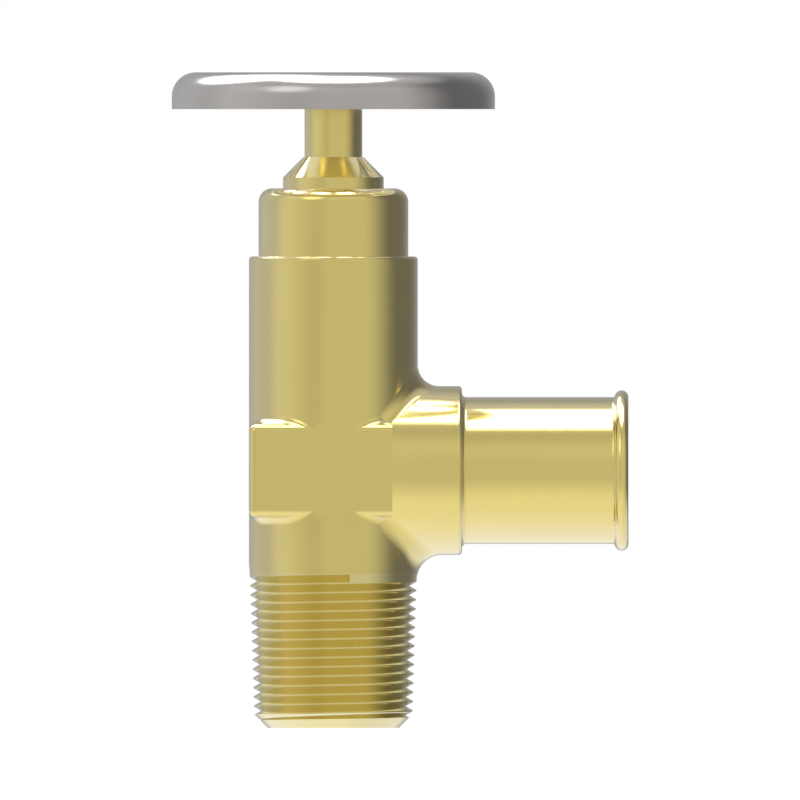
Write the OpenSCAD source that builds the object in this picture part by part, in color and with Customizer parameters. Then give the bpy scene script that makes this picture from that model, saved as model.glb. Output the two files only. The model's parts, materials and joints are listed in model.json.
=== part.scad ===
// Drain valve: an angle-pattern compression valve with a tapered pipe thread
// at its foot, a beaded hose nozzle at its side and a rising stem with a
// pressed round handwheel. The origin is the centre of the inlet's end face,
// +Z runs up the stem, +X runs out along the nozzle. Shown closed, in
// millimetres. Screw threads are left plain at their outer diameters.

/* [Inlet] */
// Diameter over the pipe thread's crests at the end face
thread_d = 20.7; // [19.5:0.1:21.5]
// Length of the threaded foot
thread_len = 19.8; // [16:0.1:21]
// Growth of the thread's diameter per unit of length
thread_taper = 0.0625; // [0.03:0.0025:0.08]
// Diameter of the flat ring left at the foot by the lead-in chamfer
foot_d = 17.2; // [15:0.1:18.5]
// Bore of the inlet
inlet_d = 12.7; // [11:0.1:13]
// Height of the bevel between the thread and the column
shoulder_h = 1.7; // [0.5:0.1:2.5]

/* [Column] */
// Diameter of the upright column
column_d = 22.2; // [21.8:0.1:24]
// Height of the column's top face
column_h = 62; // [59:0.1:70]
// Rounding of the column's and the boss's outer edges
edge_r = 0.45; // [0.2:0.05:0.8]
// Bore of the chamber that the disc moves in
chamber_d = 17.6; // [17:0.1:17.9]

/* [Outlet] */
// Height of the outlet's axis
outlet_z = 33.85; // [32:0.05:36]
// Diameter of the boss that carries the nozzle
boss_d = 22.2; // [21.6:0.1:23]
// Distance from the stem's axis to the boss's face
boss_reach = 16.9; // [15:0.1:22]
// Outside diameter of the hose nozzle
nozzle_d = 19.3; // [17.5:0.1:20]
// Distance from the stem's axis to the nozzle's end
nozzle_reach = 38.8; // [30:0.1:50]
// Bore of the outlet
outlet_d = 15.5; // [13.5:0.1:15.8]
// Distance from the stem's axis to the inner end of the outlet's bore
outlet_start = 11.5; // [10.5:0.1:14]
// Bore of the port between the chamber and the outlet
port_d = 12.6; // [11:0.1:13.2]
// Section radius of the bead that keeps a hose on
bead_r = 0.9; // [0.5:0.05:1.2]
// Blend between the tube and the bead
bead_blend_r = 0.4; // [0.2:0.05:0.6]
// Fillet at the nozzle's root
root_fillet_r = 0.6; // [0.2:0.05:0.9]
// Chamfer at the mouths of both bores
mouth_chamfer = 0.4; // [0.1:0.05:0.8]
// Fillet above the boss, where it leaves the column
upper_fillet_r = 2.8; // [1.5:0.1:3.5]
// Fillet below the boss, where it leaves the column
lower_fillet_r = 3.3; // [1.5:0.1:3.6]

/* [Wrench block] */
// Distance across the block's flats
block_w = 21.65; // [21:0.05:22]
// Height of the block
block_h = 12.2; // [11:0.1:14]
// How far the block's side away from the boss stands out of the column
block_side_lap = 0.02; // [0.01:0.005:0.03]
// Distance from the stem's axis to the block's end beside the boss
block_reach = 7.75; // [7:0.05:9]
// Rounding of the block's edges
block_edge_r = 0.92; // [0.4:0.02:1.2]
// Fillet between the block's ledges and the column
ledge_fillet_r = 1.3; // [0.8:0.1:1.6]

/* [Seat] */
// Height of the seat ring above the chamber's floor
seat_h = 2.2; // [1.5:0.1:3]
// Outside diameter of the seat ring
seat_d = 14.6; // [14:0.1:15.2]
// Width of the seat's flat lip
seat_lip = 0.5; // [0.2:0.05:0.6]
// Bore of the throat through the seat
throat_d = 11.2; // [10.6:0.1:12]
// Length of the throat below the seat
throat_len = 5.2; // [4.5:0.1:7]
// Depth of the chamber's floor below the port
floor_drop = 2.15; // [1.5:0.05:3]

/* [Bonnet] */
// Diameter of the bonnet's head
bonnet_head_d = 19.7; // [19.3:0.1:21.5]
// Height of the bonnet's head above the column
bonnet_head_h = 8.95; // [8:0.05:12]
// Rounding of the head's top edge
bonnet_edge_r = 1.8; // [0.5:0.1:2.2]
// Diameter over the thread that screws the bonnet into the column
bonnet_thread_d = 18; // [17.4:0.1:18.2]
// Length of the thread relief below the head, where the O-ring lies
relief_h = 1.75; // [1.6:0.05:2.4]
// Section diameter of the O-ring under the head
o_ring_d = 1.5; // [1.2:0.05:1.5]
// Length of the neck that guides the stem below the packing
guide_len = 2.5; // [1.5:0.1:4]

/* [Packing] */
// Bore of the stuffing box
box_d = 11.6; // [10.6:0.1:12.2]
// Height of one packing ring
packing_ring_h = 1.3; // [1:0.05:1.5]
// Thickness of the washer under the packing
packing_washer_t = 0.8; // [0.5:0.05:1]
// Height of the follower that presses on the packing
follower_h = 1.2; // [0.8:0.1:1.5]
// Diameter of the packing nut's collar
nut_d = 13.25; // [12.8:0.05:15]
// Height of the packing nut's collar
nut_collar_h = 1.45; // [1:0.05:3]
// Width of the ring left on top of the packing nut's cone
nut_lip = 0.1; // [0.1:0.05:0.5]

/* [Stem] */
// Diameter of the stem
stem_d = 7.6; // [7:0.1:8.4]
// Length of stem that shows between the packing nut and the handwheel
stem_show = 6.3; // [4:0.1:15]
// Diameter over the stem's screw thread
stem_thread_d = 10.4; // [9.6:0.1:11.4]
// Rise of the stem from shut to fully open
travel = 5; // [3:0.1:5.5]
// Diameter of the shank below the thread
shank_d = 8.4; // [7.8:0.1:8.8]
// Length of the shank below the thread
shank_len = 2.6; // [1.5:0.1:4]
// Side of the square that carries the handwheel
square_w = 5.2; // [4.8:0.1:5.4]
// Diameter of the pivot that the disc holder swivels on
pivot_d = 5; // [4.6:0.1:5.4]

/* [Disc] */
// Diameter of the seat washer
disc_d = 14.2; // [13.8:0.1:14.6]
// Thickness of the seat washer
disc_t = 2.8; // [2:0.1:4]
// Wall of the cup round the seat washer
cup_wall = 0.7; // [0.5:0.05:0.8]
// Depth of the cup round the seat washer
cup_depth = 1.7; // [1:0.1:1.9]
// Thickness of the holder's flange
flange_t = 2.4; // [2:0.1:3]
// Diameter of the holder's boss
holder_boss_d = 9.4; // [8.8:0.1:10.4]
// Height of the holder's boss
holder_boss_h = 6.6; // [6:0.1:7.5]
// Thickness of the clip that holds the disc holder on the stem
clip_t = 0.8; // [0.6:0.05:1]
// Diameter of the seat screw's shank
seat_screw_d = 4; // [3.4:0.1:4.2]
// Diameter of the seat screw's head
seat_screw_head_d = 7.4; // [6.4:0.1:8]
// Height of the seat screw's head
seat_screw_head_h = 1.8; // [1.4:0.1:2.4]
// Diameter of the retaining washer under the seat washer
retainer_d = 9.2; // [8.4:0.1:9.4]
// Thickness of the retaining washer
retainer_t = 0.8; // [0.5:0.05:1.2]

/* [Handwheel] */
// Diameter of the handwheel
wheel_d = 42.5; // [36:0.5:60]
// Height of the handwheel
wheel_h = 4.85; // [4.6:0.05:6]
// Thickness of the handwheel's sheet
wheel_t = 1.2; // [1:0.05:1.3]
// Outer radius of the bend at the rim
wheel_bend_r = 3.15; // [2:0.05:3.3]
// Diameter of the flat floor in the wheel's dish
dish_d = 16; // [14:0.5:18]
// Slope of the dish's side
dish_angle = 55; // [45:1:75]
// Inner radius of the dish's two bends
dish_bend_r = 0.7; // [0.4:0.05:0.8]
// Height of the dish's underside above the rim's edge
dish_rise = 0.25; // [0:0.05:0.5]
// Number of round openings in the wheel, with a spoke between each two
web_holes = 8; // [3:1:8]
// Diameter of an opening
web_hole_d = 7.6; // [2:0.1:8]
// Diameter of the wheel screw's shank
wheel_screw_d = 3.9; // [3.2:0.1:4]
// Diameter of the wheel screw's head
wheel_screw_head_d = 7.2; // [6.4:0.1:8]
// Height of the wheel screw's head
wheel_screw_head_h = 1.8; // [1.4:0.1:2]
// Length of the wheel screw's shank
wheel_screw_len = 11; // [7:0.5:14]
// Diameter of the plain washer under the wheel screw
wheel_washer_d = 9.6; // [8:0.1:11]
// Thickness of the plain washer
wheel_washer_t = 0.5; // [0.4:0.05:0.8]
// Diameter of the split lock washer
lock_washer_d = 7; // [6.4:0.1:7.4]
// Thickness of the split lock washer
lock_washer_t = 0.6; // [0.4:0.05:0.8]
// Width of the gap in the split lock washer
lock_washer_gap = 0.6; // [0.4:0.05:1]
// Width of the slot in the screw heads
slot_w = 0.9; // [0.6:0.05:1.2]
// Depth of the slot in the screw heads
slot_depth = 0.8; // [0.4:0.05:1]

/* [Fits] */
// Radial clearance of the turning stem in its bores
running_gap = 0.06; // [0.02:0.01:0.1]
// Radial clearance of screwed and loosely fitted pieces
thread_gap = 0.05; // [0.02:0.01:0.1]
// Axial play of the stem in the disc holder
end_play = 0.05; // [0.02:0.01:0.1]
// Gap that keeps moving pieces apart at the end of their travel
stop_gap = 0.5; // [0.3:0.05:1]

/* [Hidden] */
$fn = 96;

brass = "#c8b46c";
bright_brass = "#d3c184";
rubber = "#2b2b2b";
white_packing = "#e8e6df";
grey_metal = "#a29e9a";

// Radii
thread_r = thread_d / 2;
column_r = column_d / 2;
boss_r = boss_d / 2;
nozzle_r = nozzle_d / 2;
outlet_r = outlet_d / 2;
port_r = port_d / 2;
throat_r = throat_d / 2;
chamber_r = chamber_d / 2;
inlet_r = inlet_d / 2;
stem_r = stem_d / 2;
block_a = block_w / 2;
block_side = column_r + block_side_lap;
overcut = 1;
packing_rings = 3;

// Heights, from the foot up
foot_r = foot_d / 2;
foot_chamfer_h = (thread_r - foot_r) / (1 - thread_taper / 2);
thread_top_r = thread_r + thread_len * thread_taper / 2;
floor_z = outlet_z - port_r - floor_drop;
seat_z = floor_z + seat_h;
cup_z = seat_z + disc_t;
flange_z = cup_z + flange_t;
holder_z = flange_z + holder_boss_h;
bonnet_foot_z = holder_z + travel + stop_gap;
relief_z = column_h - relief_h;
box_z = column_h - relief_h / 2;
guide_z = box_z - guide_len;
head_z = column_h + bonnet_head_h;
packing_z = box_z + packing_washer_t;
follower_z = packing_z + packing_rings * packing_ring_h;
nut_foot_z = follower_z + follower_h;
nut_bore_r = stem_r + running_gap;
nut_top_z = head_z + nut_collar_h + nut_d / 2 - nut_bore_r - nut_lip;
wheel_z = nut_top_z + stem_show;
dish_z = wheel_z + dish_rise;

// Disc holder and its pivot
pivot_r = pivot_d / 2;
pivot_floor_gap = 0.2;
clip_proud = 0.3;
clip_z = (flange_z + holder_z) / 2;
clip_groove_depth = 0.6;
stem_thread_z = holder_z + end_play + shank_len;
stem_thread_top_z = guide_z - travel - stop_gap;

// Handwheel
wheel_r = wheel_d / 2;
wheel_top_z = wheel_z + wheel_h;
dish_r = dish_d / 2;
dish_drop = wheel_top_z - dish_z - wheel_t;
screw_seat_z = dish_z + wheel_t + wheel_washer_t + lock_washer_t;
square_clearance = 0.1;
square_h = wheel_t - square_clearance;
tap_spare = 1;
tap_depth = wheel_screw_len + tap_spare;

// Corner of a square that lies outside its inscribed quarter circle
module spandrel(r) {
    difference() {
        square(r);
        translate([r, r]) circle(r);
    }
}

// Tube standing on z, with its axis on Z
module ring(outer_r, inner_r, z, h) {
    translate([0, 0, z]) difference() {
        cylinder(h = h, r = outer_r);
        translate([0, 0, -overcut]) cylinder(h = h + 2 * overcut, r = inner_r);
    }
}

// Radius of the body's outside at height z, thread crests included
function body_r(z) =
    z > thread_len + shoulder_h ? column_r
    : z > thread_len ? thread_top_r + (column_r - thread_top_r) * (z - thread_len) / shoulder_h
    : thread_r + z * thread_taper / 2;

// Great-circle arc on a ball of radius r about c, from direction u to direction v.
// Both ends reach a little deeper, so that the strip's edges sink into the solids.
fillet_steps = 8;
fillet_sink = 0.04;
function ball_arc(c, u, v, r) =
    let (a = acos(u * v))
    [for (i = [0:fillet_steps])
        let (
            f = i / fillet_steps,
            reach = r + (i == 0 || i == fillet_steps ? fillet_sink : 0)
        )
        c + reach * (u * sin(a * (1 - f)) + v * sin(a * f)) / sin(a)
    ];

// Solid strip under a row of arcs, each closed by its own inner point
module fillet_strip(rings) {
    n = len(rings[0]);
    m = len(rings);
    sides = [for (j = [0:m - 2], i = [0:n - 1], half = [0, 1])
        let (
            a = j * n + i,
            b = j * n + (i + 1) % n,
            c = (j + 1) * n + (i + 1) % n,
            d = (j + 1) * n + i
        )
        half == 0 ? [a, c, b] : [a, d, c]
    ];
    caps = [for (i = [1:n - 2], end = [0, 1])
        let (k = end * (m - 1) * n)
        end == 0 ? [k, k + i, k + i + 1] : [k, k + i + 1, k + i]
    ];
    polyhedron(points = [for (p = rings) each p], faces = concat(sides, caps), convexity = 4);
}

// Fillet of radius r that a ball rolls between the column and the boss,
// above the boss (side 1) or below it (side -1). Its ends lie in the block.
boss_fillet_stations = 36;
fillet_root_depth = 1;
fillet_root_share = 0.95;
fillet_end_lap = 0.6;
module boss_fillet(r, side) {
    ball_reach = boss_r + r;
    end_angle = acos((block_h / 2 - fillet_end_lap) / ball_reach);
    fillet_strip([
        for (k = [0:boss_fillet_stations])
            let (
                phi = end_angle * (2 * k / boss_fillet_stations - 1),
                y = ball_reach * sin(phi),
                h = ball_reach * cos(phi),
                z = outlet_z + side * h,
                x = sqrt(pow(body_r(z) + r, 2) - y * y),
                root_y = fillet_root_share * y * min(column_r, boss_r) / ball_reach,
                root = [
                    sqrt(pow(body_r(z), 2) - root_y * root_y) - fillet_root_depth,
                    root_y,
                    outlet_z + side * (sqrt(boss_r * boss_r - root_y * root_y) - fillet_root_depth)
                ],
                to_column = [-x, -y, 0] / norm([x, y]),
                to_boss = [0, -y, -side * h] / ball_reach,
                arc = ball_arc([x, y, z], to_column, to_boss, r)
            )
            concat([root], side > 0 ? arc : [for (i = [fillet_steps:-1:0]) arc[i]])
    ]);
}

// Fillet that a smaller ball rolls between the column and one front corner of
// the block's upper ledge, over the ledge's rounded edge where that is nearer
ledge_stations = 16;
ledge_root_depth = 0.8;
module ledge_fillet(from, to) {
    path_r = column_r + ledge_fillet_r;
    ball_reach = block_edge_r + ledge_fillet_r;
    edge_axis_z = block_h / 2 - block_edge_r;
    fillet_strip([
        for (k = [0:ledge_stations])
            let (
                angle = from + (to - from) * k / ledge_stations,
                out = [cos(angle), sin(angle), 0],
                over_front = abs(out.y) > abs(out.x),
                edge_axis = (over_front ? block_a : block_side) - block_edge_r,
                past = max(0, path_r * max(abs(out.x), abs(out.y)) - edge_axis),
                h = sqrt(ball_reach * ball_reach - past * past),
                to_block = [over_front ? 0 : -sign(out.x) * past, over_front ? past : 0, -h] / ball_reach,
                root = concat((column_r - ledge_root_depth) * [out.x, out.y],
                    [block_h / 2 - ledge_root_depth])
            )
            concat([root], ball_arc(path_r * out + [0, 0, edge_axis_z + h], -out, to_block, ledge_fillet_r))
    ]);
}

// The same fillet on both front corners, mirrored to the back and to the lower ledge
ledge_end_share = 0.985;
module ledge_fillets() {
    path_r = column_r + ledge_fillet_r;
    past_edge = ledge_end_share * (block_edge_r + ledge_fillet_r);
    skip = acos((block_a - block_edge_r + past_edge) / path_r);
    side_skip = acos((block_side - block_edge_r + past_edge) / path_r);
    right_end = -acos(block_reach / column_r);
    translate([0, 0, outlet_z]) for (low = [0, 1], back = [0, 1])
        mirror([0, 0, low]) mirror([0, back, 0]) {
            ledge_fillet(180 + side_skip, 270 - skip);
            intersection() {
                ledge_fillet(270 + skip, 360 + right_end);
                translate([block_reach - column_r, -column_r - overcut, 0])
                    cube([column_r, column_r + overcut, block_h]);
            }
        }
}

// Column with its threaded foot
module column() {
    rotate_extrude() difference() {
        polygon([
            [0, 0],
            [foot_r, 0],
            [thread_r + foot_chamfer_h * thread_taper / 2, foot_chamfer_h],
            [thread_top_r, thread_len],
            [column_r, thread_len + shoulder_h],
            [column_r, column_h],
            [0, column_h]
        ]);
        translate([column_r, column_h]) rotate(180) spandrel(edge_r);
    }
}

// Boss, hose nozzle and bead, about the outlet's axis
boss_start = 3;
module outlet() {
    bead_x = nozzle_reach - bead_r;
    blend_x = bead_x - sqrt(pow(bead_r + bead_blend_r, 2) - bead_blend_r * bead_blend_r);
    translate([0, 0, outlet_z]) rotate([0, 90, 0]) rotate_extrude() union() {
        difference() {
            translate([0, boss_start]) square([boss_r, boss_reach - boss_start]);
            translate([boss_r, boss_reach]) rotate(180) spandrel(edge_r);
        }
        translate([0, boss_start]) square([nozzle_r, nozzle_reach - boss_start]);
        translate([nozzle_r, boss_reach]) spandrel(root_fillet_r);
        translate([nozzle_r, bead_x]) circle(bead_r);
        difference() {
            polygon([[nozzle_r, blend_x], [nozzle_r + bead_blend_r, blend_x], [nozzle_r, bead_x]]);
            translate([nozzle_r + bead_blend_r, blend_x]) circle(bead_blend_r);
        }
    }
}

// Square block for a wrench, rounded on all edges but those beside the boss
module wrench_block() {
    intersection() {
        translate([0, 0, outlet_z - block_h]) linear_extrude(2 * block_h) difference() {
            translate([-block_side, -block_a]) square([block_side + block_reach, block_w]);
            translate([-block_side, -block_a]) spandrel(block_edge_r);
            translate([-block_side, block_a]) rotate(-90) spandrel(block_edge_r);
        }
        translate([0, 0, outlet_z - block_h / 2]) rotate([90, 0, 0])
            linear_extrude(2 * block_w, center = true) difference() {
                translate([-block_side, 0]) square([block_side + block_reach, block_h]);
                translate([-block_side, 0]) spandrel(block_edge_r);
                translate([-block_side, block_h]) rotate(-90) spandrel(block_edge_r);
            }
        translate([0, 0, outlet_z]) rotate([90, 0, 90])
            linear_extrude(4 * block_w, center = true) difference() {
                square([block_w, block_h], center = true);
                for (i = [0:3])
                    translate([(i == 0 || i == 3 ? -1 : 1) * block_a, (i < 2 ? -1 : 1) * block_h / 2])
                        rotate(90 * i) spandrel(block_edge_r);
            }
    }
}

// What the flats take off the column and the boss
module flat_cuts() {
    reach = column_r + overcut;
    for (side = [-1, 1])
        translate([-reach, side > 0 ? block_a : -block_a - overcut * 2, outlet_z - block_h / 2])
            cube([reach + block_reach, overcut * 2, block_h]);
}

// Forged body with its waterway, seat and bonnet thread
module valve_body() {
    color(brass) difference() {
        union() {
            difference() {
                union() {
                    difference() {
                        union() {
                            column();
                            outlet();
                            boss_fillet(upper_fillet_r, 1);
                            boss_fillet(lower_fillet_r, -1);
                            ledge_fillets();
                        }
                        flat_cuts();
                    }
                    wrench_block();
                }
                translate([0, 0, floor_z]) cylinder(h = column_h, r = chamber_r);
                translate([0, 0, bonnet_foot_z - stop_gap])
                    cylinder(h = column_h, r = bonnet_thread_d / 2 + thread_gap);
                translate([0, 0, relief_z]) cylinder(h = column_h, r = o_ring_seat_r);
                translate([0, 0, outlet_z]) rotate([0, 90, 0]) outlet_way();
            }
            seat_ring();
        }
        inlet_way();
    }
}

// Stepped bore of the outlet, along Z: the port, a cone, the bore and its mouth
module outlet_way() {
    step = abs(outlet_r - port_r);
    cylinder(h = nozzle_reach, r = port_r);
    translate([0, 0, outlet_start - step]) cylinder(h = step, r1 = port_r, r2 = outlet_r);
    translate([0, 0, outlet_start]) cylinder(h = nozzle_reach - outlet_start + overcut, r = outlet_r);
    translate([0, 0, nozzle_reach - mouth_chamfer])
        cylinder(h = 2 * mouth_chamfer, r1 = outlet_r, r2 = outlet_r + 2 * mouth_chamfer);
}

// Stepped bore of the inlet: its mouth, the bore, a cone and the throat
module inlet_way() {
    step = abs(inlet_r - throat_r);
    bore_top_z = seat_z - throat_len;
    translate([0, 0, -mouth_chamfer])
        cylinder(h = 2 * mouth_chamfer, r1 = inlet_r + 2 * mouth_chamfer, r2 = inlet_r);
    translate([0, 0, -overcut]) cylinder(h = bore_top_z + overcut, r = inlet_r);
    translate([0, 0, bore_top_z]) cylinder(h = step, r1 = inlet_r, r2 = throat_r);
    cylinder(h = seat_z + overcut, r = throat_r);
}

// Raised ring that the seat washer closes on
module seat_ring() {
    lip_r = throat_r + seat_lip;
    seat_r = seat_d / 2;
    rotate_extrude() polygon([
        [throat_r - seat_lip, floor_z - overcut],
        [seat_r, floor_z - overcut],
        [seat_r, seat_z - (seat_r - lip_r)],
        [lip_r, seat_z],
        [throat_r - seat_lip, seat_z]
    ]);
}

// Space for the O-ring between the bonnet's relief and the column
o_ring_r = o_ring_d / 2;
o_ring_proud = 0.45;
o_ring_centre_r = bonnet_thread_d / 2 - o_ring_r + o_ring_proud;
o_ring_seat_r = o_ring_centre_r + o_ring_r + thread_gap;
relief_r = o_ring_centre_r - o_ring_r - thread_gap;

// Screwed bonnet: it guides the stem and holds the stuffing box
foot_chamfer = 0.6;
module bonnet() {
    bonnet_thread_r = bonnet_thread_d / 2;
    color(brass) rotate_extrude() difference() {
        polygon([
            [stem_thread_d / 2 + running_gap, bonnet_foot_z],
            [bonnet_thread_r - foot_chamfer, bonnet_foot_z],
            [bonnet_thread_r, bonnet_foot_z + foot_chamfer],
            [bonnet_thread_r, relief_z],
            [relief_r, relief_z],
            [relief_r, column_h],
            [bonnet_head_d / 2, column_h],
            [bonnet_head_d / 2, head_z],
            [box_d / 2, head_z],
            [box_d / 2, box_z],
            [nut_bore_r, box_z],
            [nut_bore_r, guide_z],
            [stem_thread_d / 2 + running_gap, guide_z]
        ]);
        translate([bonnet_head_d / 2, head_z]) rotate(180) spandrel(bonnet_edge_r);
    }
}

// Rubber ring in the thread relief under the bonnet's head
module bonnet_o_ring() {
    color(rubber) rotate_extrude()
        translate([o_ring_centre_r, column_h - o_ring_r - thread_gap]) circle(o_ring_r);
}

// Brass washer on the floor of the stuffing box
module packing_washer() {
    color(bright_brass) ring(box_d / 2 - thread_gap, nut_bore_r, box_z, packing_washer_t);
}

// One of the three packing rings, counted from the bottom
module packing_ring(i) {
    color(white_packing)
        ring(box_d / 2 - thread_gap, nut_bore_r, packing_z + (i - 1) * packing_ring_h, packing_ring_h);
}

// Ring that spreads the packing nut's push over the packing
module gland_follower() {
    color(bright_brass) ring(box_d / 2 - thread_gap, nut_bore_r, follower_z, follower_h);
}

// Nut that presses the packing on the stem: screwed skirt, collar and cone
module packing_nut() {
    skirt_r = box_d / 2 - thread_gap;
    lip_r = nut_bore_r + nut_lip;
    color(brass) rotate_extrude() polygon([
        [nut_bore_r, nut_foot_z],
        [skirt_r, nut_foot_z],
        [skirt_r, head_z],
        [nut_d / 2, head_z],
        [nut_d / 2, head_z + nut_collar_h],
        [lip_r, nut_top_z],
        [nut_bore_r, nut_top_z]
    ]);
}

// Stem, from the square under the wheel screw to the pivot in the disc holder
module stem() {
    groove_r = pivot_r - clip_groove_depth;
    groove_half = clip_t / 2 + end_play;
    color(brass) difference() {
        union() {
            rotate_extrude() polygon([
                [0, flange_z + pivot_floor_gap],
                [pivot_r, flange_z + pivot_floor_gap],
                [pivot_r, clip_z - groove_half],
                [groove_r, clip_z - groove_half],
                [groove_r, clip_z + groove_half],
                [pivot_r, clip_z + groove_half],
                [pivot_r, holder_z + end_play],
                [shank_d / 2, holder_z + end_play],
                [shank_d / 2, stem_thread_z],
                [stem_thread_d / 2, stem_thread_z],
                [stem_thread_d / 2, stem_thread_top_z],
                [stem_r, stem_thread_top_z],
                [stem_r, dish_z],
                [0, dish_z]
            ]);
            intersection() {
                translate([-square_w / 2, -square_w / 2, dish_z - overcut])
                    cube([square_w, square_w, overcut + square_h]);
                translate([0, 0, dish_z - 2 * overcut]) cylinder(h = 3 * overcut + square_h, r = stem_r);
            }
        }
        translate([0, 0, screw_seat_z - tap_depth])
            cylinder(h = tap_depth + overcut, r = wheel_screw_d / 2 + thread_gap);
    }
}

// Horseshoe clip through the holder's boss, round the groove in the pivot
module swivel_clip() {
    clip_outer_r = holder_boss_d / 2 + clip_proud;
    clip_inner_r = pivot_r - clip_groove_depth + running_gap;
    color(grey_metal) translate([0, 0, clip_z - clip_t / 2]) difference() {
        cylinder(h = clip_t, r = clip_outer_r);
        translate([0, 0, -overcut]) cylinder(h = clip_t + 2 * overcut, r = clip_inner_r);
        translate([0, -clip_inner_r, -overcut])
            cube([clip_outer_r + overcut, 2 * clip_inner_r, clip_t + 2 * overcut]);
    }
}

// Cup that carries the seat washer and swivels on the stem's pivot
module disc_holder() {
    cup_r = disc_d / 2 + thread_gap;
    color(brass) difference() {
        union() {
            ring(cup_r + cup_wall, cup_r, cup_z - cup_depth, cup_depth + overcut);
            translate([0, 0, cup_z]) cylinder(h = flange_t, r = cup_r + cup_wall);
            translate([0, 0, cup_z]) cylinder(h = flange_t + holder_boss_h, r = holder_boss_d / 2);
        }
        translate([0, 0, flange_z]) cylinder(h = holder_boss_h + overcut, r = pivot_r + running_gap);
        translate([0, 0, cup_z - overcut])
            cylinder(h = flange_t + 2 * overcut, r = seat_screw_d / 2 + thread_gap);
        clip_slots();
    }
}

// Slots for the clip: all of the boss at its height but a post on the open side
module clip_slots() {
    slot_half = clip_t / 2 + thread_gap;
    post_w = 2 * (pivot_r - clip_groove_depth + running_gap) - 2 * thread_gap;
    translate([0, 0, clip_z - slot_half]) difference() {
        cylinder(h = 2 * slot_half, r = holder_boss_d);
        translate([0, -post_w / 2, -overcut]) cube([2 * holder_boss_d, post_w, 4 * slot_half + overcut]);
    }
}

// Rubber washer that closes on the seat
module seat_washer() {
    color(rubber) ring(disc_d / 2, seat_screw_d / 2 + thread_gap, seat_z, disc_t);
}

// Brass washer between the seat washer and the head of its screw
module seat_washer_retainer() {
    color(bright_brass)
        ring(retainer_d / 2, seat_screw_d / 2 + thread_gap, seat_z - retainer_t, retainer_t);
}

// Round-topped slotted screw: its head stands on z = 0, its shank goes down
module slotted_screw(shank_r, shank_len, head_r, head_h) {
    dome_r = (head_r * head_r + head_h * head_h) / (2 * head_h);
    difference() {
        union() {
            translate([0, 0, -shank_len]) cylinder(h = shank_len + head_h / 2, r = shank_r);
            rotate_extrude() intersection() {
                square([head_r, head_h]);
                translate([0, head_h - dome_r]) circle(dome_r);
            }
        }
        translate([-head_r - overcut, -slot_w / 2, head_h - slot_depth])
            cube([2 * (head_r + overcut), slot_w, slot_depth + overcut]);
    }
}

// Screw that holds the seat washer in its cup, head downwards
module seat_screw() {
    color(bright_brass) translate([0, 0, seat_z - retainer_t]) mirror([0, 0, 1])
        slotted_screw(seat_screw_d / 2, retainer_t + disc_t + flange_t - thread_gap,
            seat_screw_head_d / 2, seat_screw_head_h);
}

// Pressed handwheel: a skirt, a rolled top edge, a flat web and a dished
// centre, with openings from the foot of the dish's side out to the rim
module handwheel() {
    top_curve = dish_curve(wheel_t, dish_bend_r, dish_outer_r);
    under_curve = dish_curve(0, dish_outer_r, dish_bend_r);
    color(grey_metal) difference() {
        rotate_extrude() difference() {
            under_sheet(wheel_r, wheel_z, wheel_top_z, wheel_bend_r, top_curve);
            under_sheet(wheel_r - wheel_t, wheel_z - overcut, wheel_top_z - wheel_t, wheel_bend_r - wheel_t,
                under_curve);
        }
        translate([0, 0, dish_z]) cube([square_w + 2 * thread_gap, square_w + 2 * thread_gap, 4 * wheel_t],
            center = true);
        for (i = [0:web_holes - 1])
            rotate(360 / web_holes * (i + 0.5))
                translate([opening_mid_r, 0, wheel_z]) cylinder(h = wheel_h + overcut, d = web_hole_d);
    }
}

// The dish's side: a straight slope between two bends
dish_outer_r = dish_bend_r + wheel_t;
bends_drop = (dish_bend_r + dish_outer_r) * (1 - cos(dish_angle));
side_len = (dish_drop - bends_drop) / sin(dish_angle);
side_run = side_len * cos(dish_angle) + (dish_bend_r + dish_outer_r) * sin(dish_angle);
web_inner_r = dish_r + side_run;
opening_mid_r = (dish_r + wheel_r - wheel_bend_r) / 2;

// One side of the sheet from the dish's floor, which it meets at the height
// above the dish's underside, up to the web; each bend with its own radius
bend_steps = 12;
function dish_curve(height, low_r, high_r) =
    let (
        low = [dish_r, dish_z + height + low_r],
        high = [web_inner_r, dish_z + height + dish_drop - high_r],
        angles = [for (i = [0:bend_steps]) dish_angle * i / bend_steps]
    )
    concat(
        [for (a = angles) low + low_r * [sin(a), -cos(a)]],
        [for (i = [bend_steps:-1:0]) high + high_r * [-sin(angles[i]), cos(angles[i])]]
    );

// Space between the height foot_z and one side of the sheet
module under_sheet(rim_r, foot_z, top_z, corner_r, curve) {
    difference() {
        polygon(concat([[0, foot_z], [rim_r, foot_z], [rim_r, top_z]],
            [for (i = [len(curve) - 1:-1:0]) curve[i]], [[0, curve[0].y]]));
        translate([rim_r, top_z]) rotate(180) spandrel(corner_r);
    }
}

// Plain washer on the dish's floor
module wheel_washer() {
    color(grey_metal)
        ring(wheel_washer_d / 2, wheel_screw_d / 2 + thread_gap, dish_z + wheel_t, wheel_washer_t);
}

// Split spring washer under the screw's head, drawn flat
module lock_washer() {
    z = dish_z + wheel_t + wheel_washer_t;
    color(grey_metal) difference() {
        ring(lock_washer_d / 2, wheel_screw_d / 2 + thread_gap, z, lock_washer_t);
        translate([0, -lock_washer_gap / 2, z - overcut])
            cube([lock_washer_d, lock_washer_gap, lock_washer_t + 2 * overcut]);
    }
}

// Screw that clamps the handwheel on the stem's square
module wheel_screw() {
    color(grey_metal) translate([0, 0, screw_seat_z])
        slotted_screw(wheel_screw_d / 2, wheel_screw_len, wheel_screw_head_d / 2, wheel_screw_head_h);
}

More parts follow.
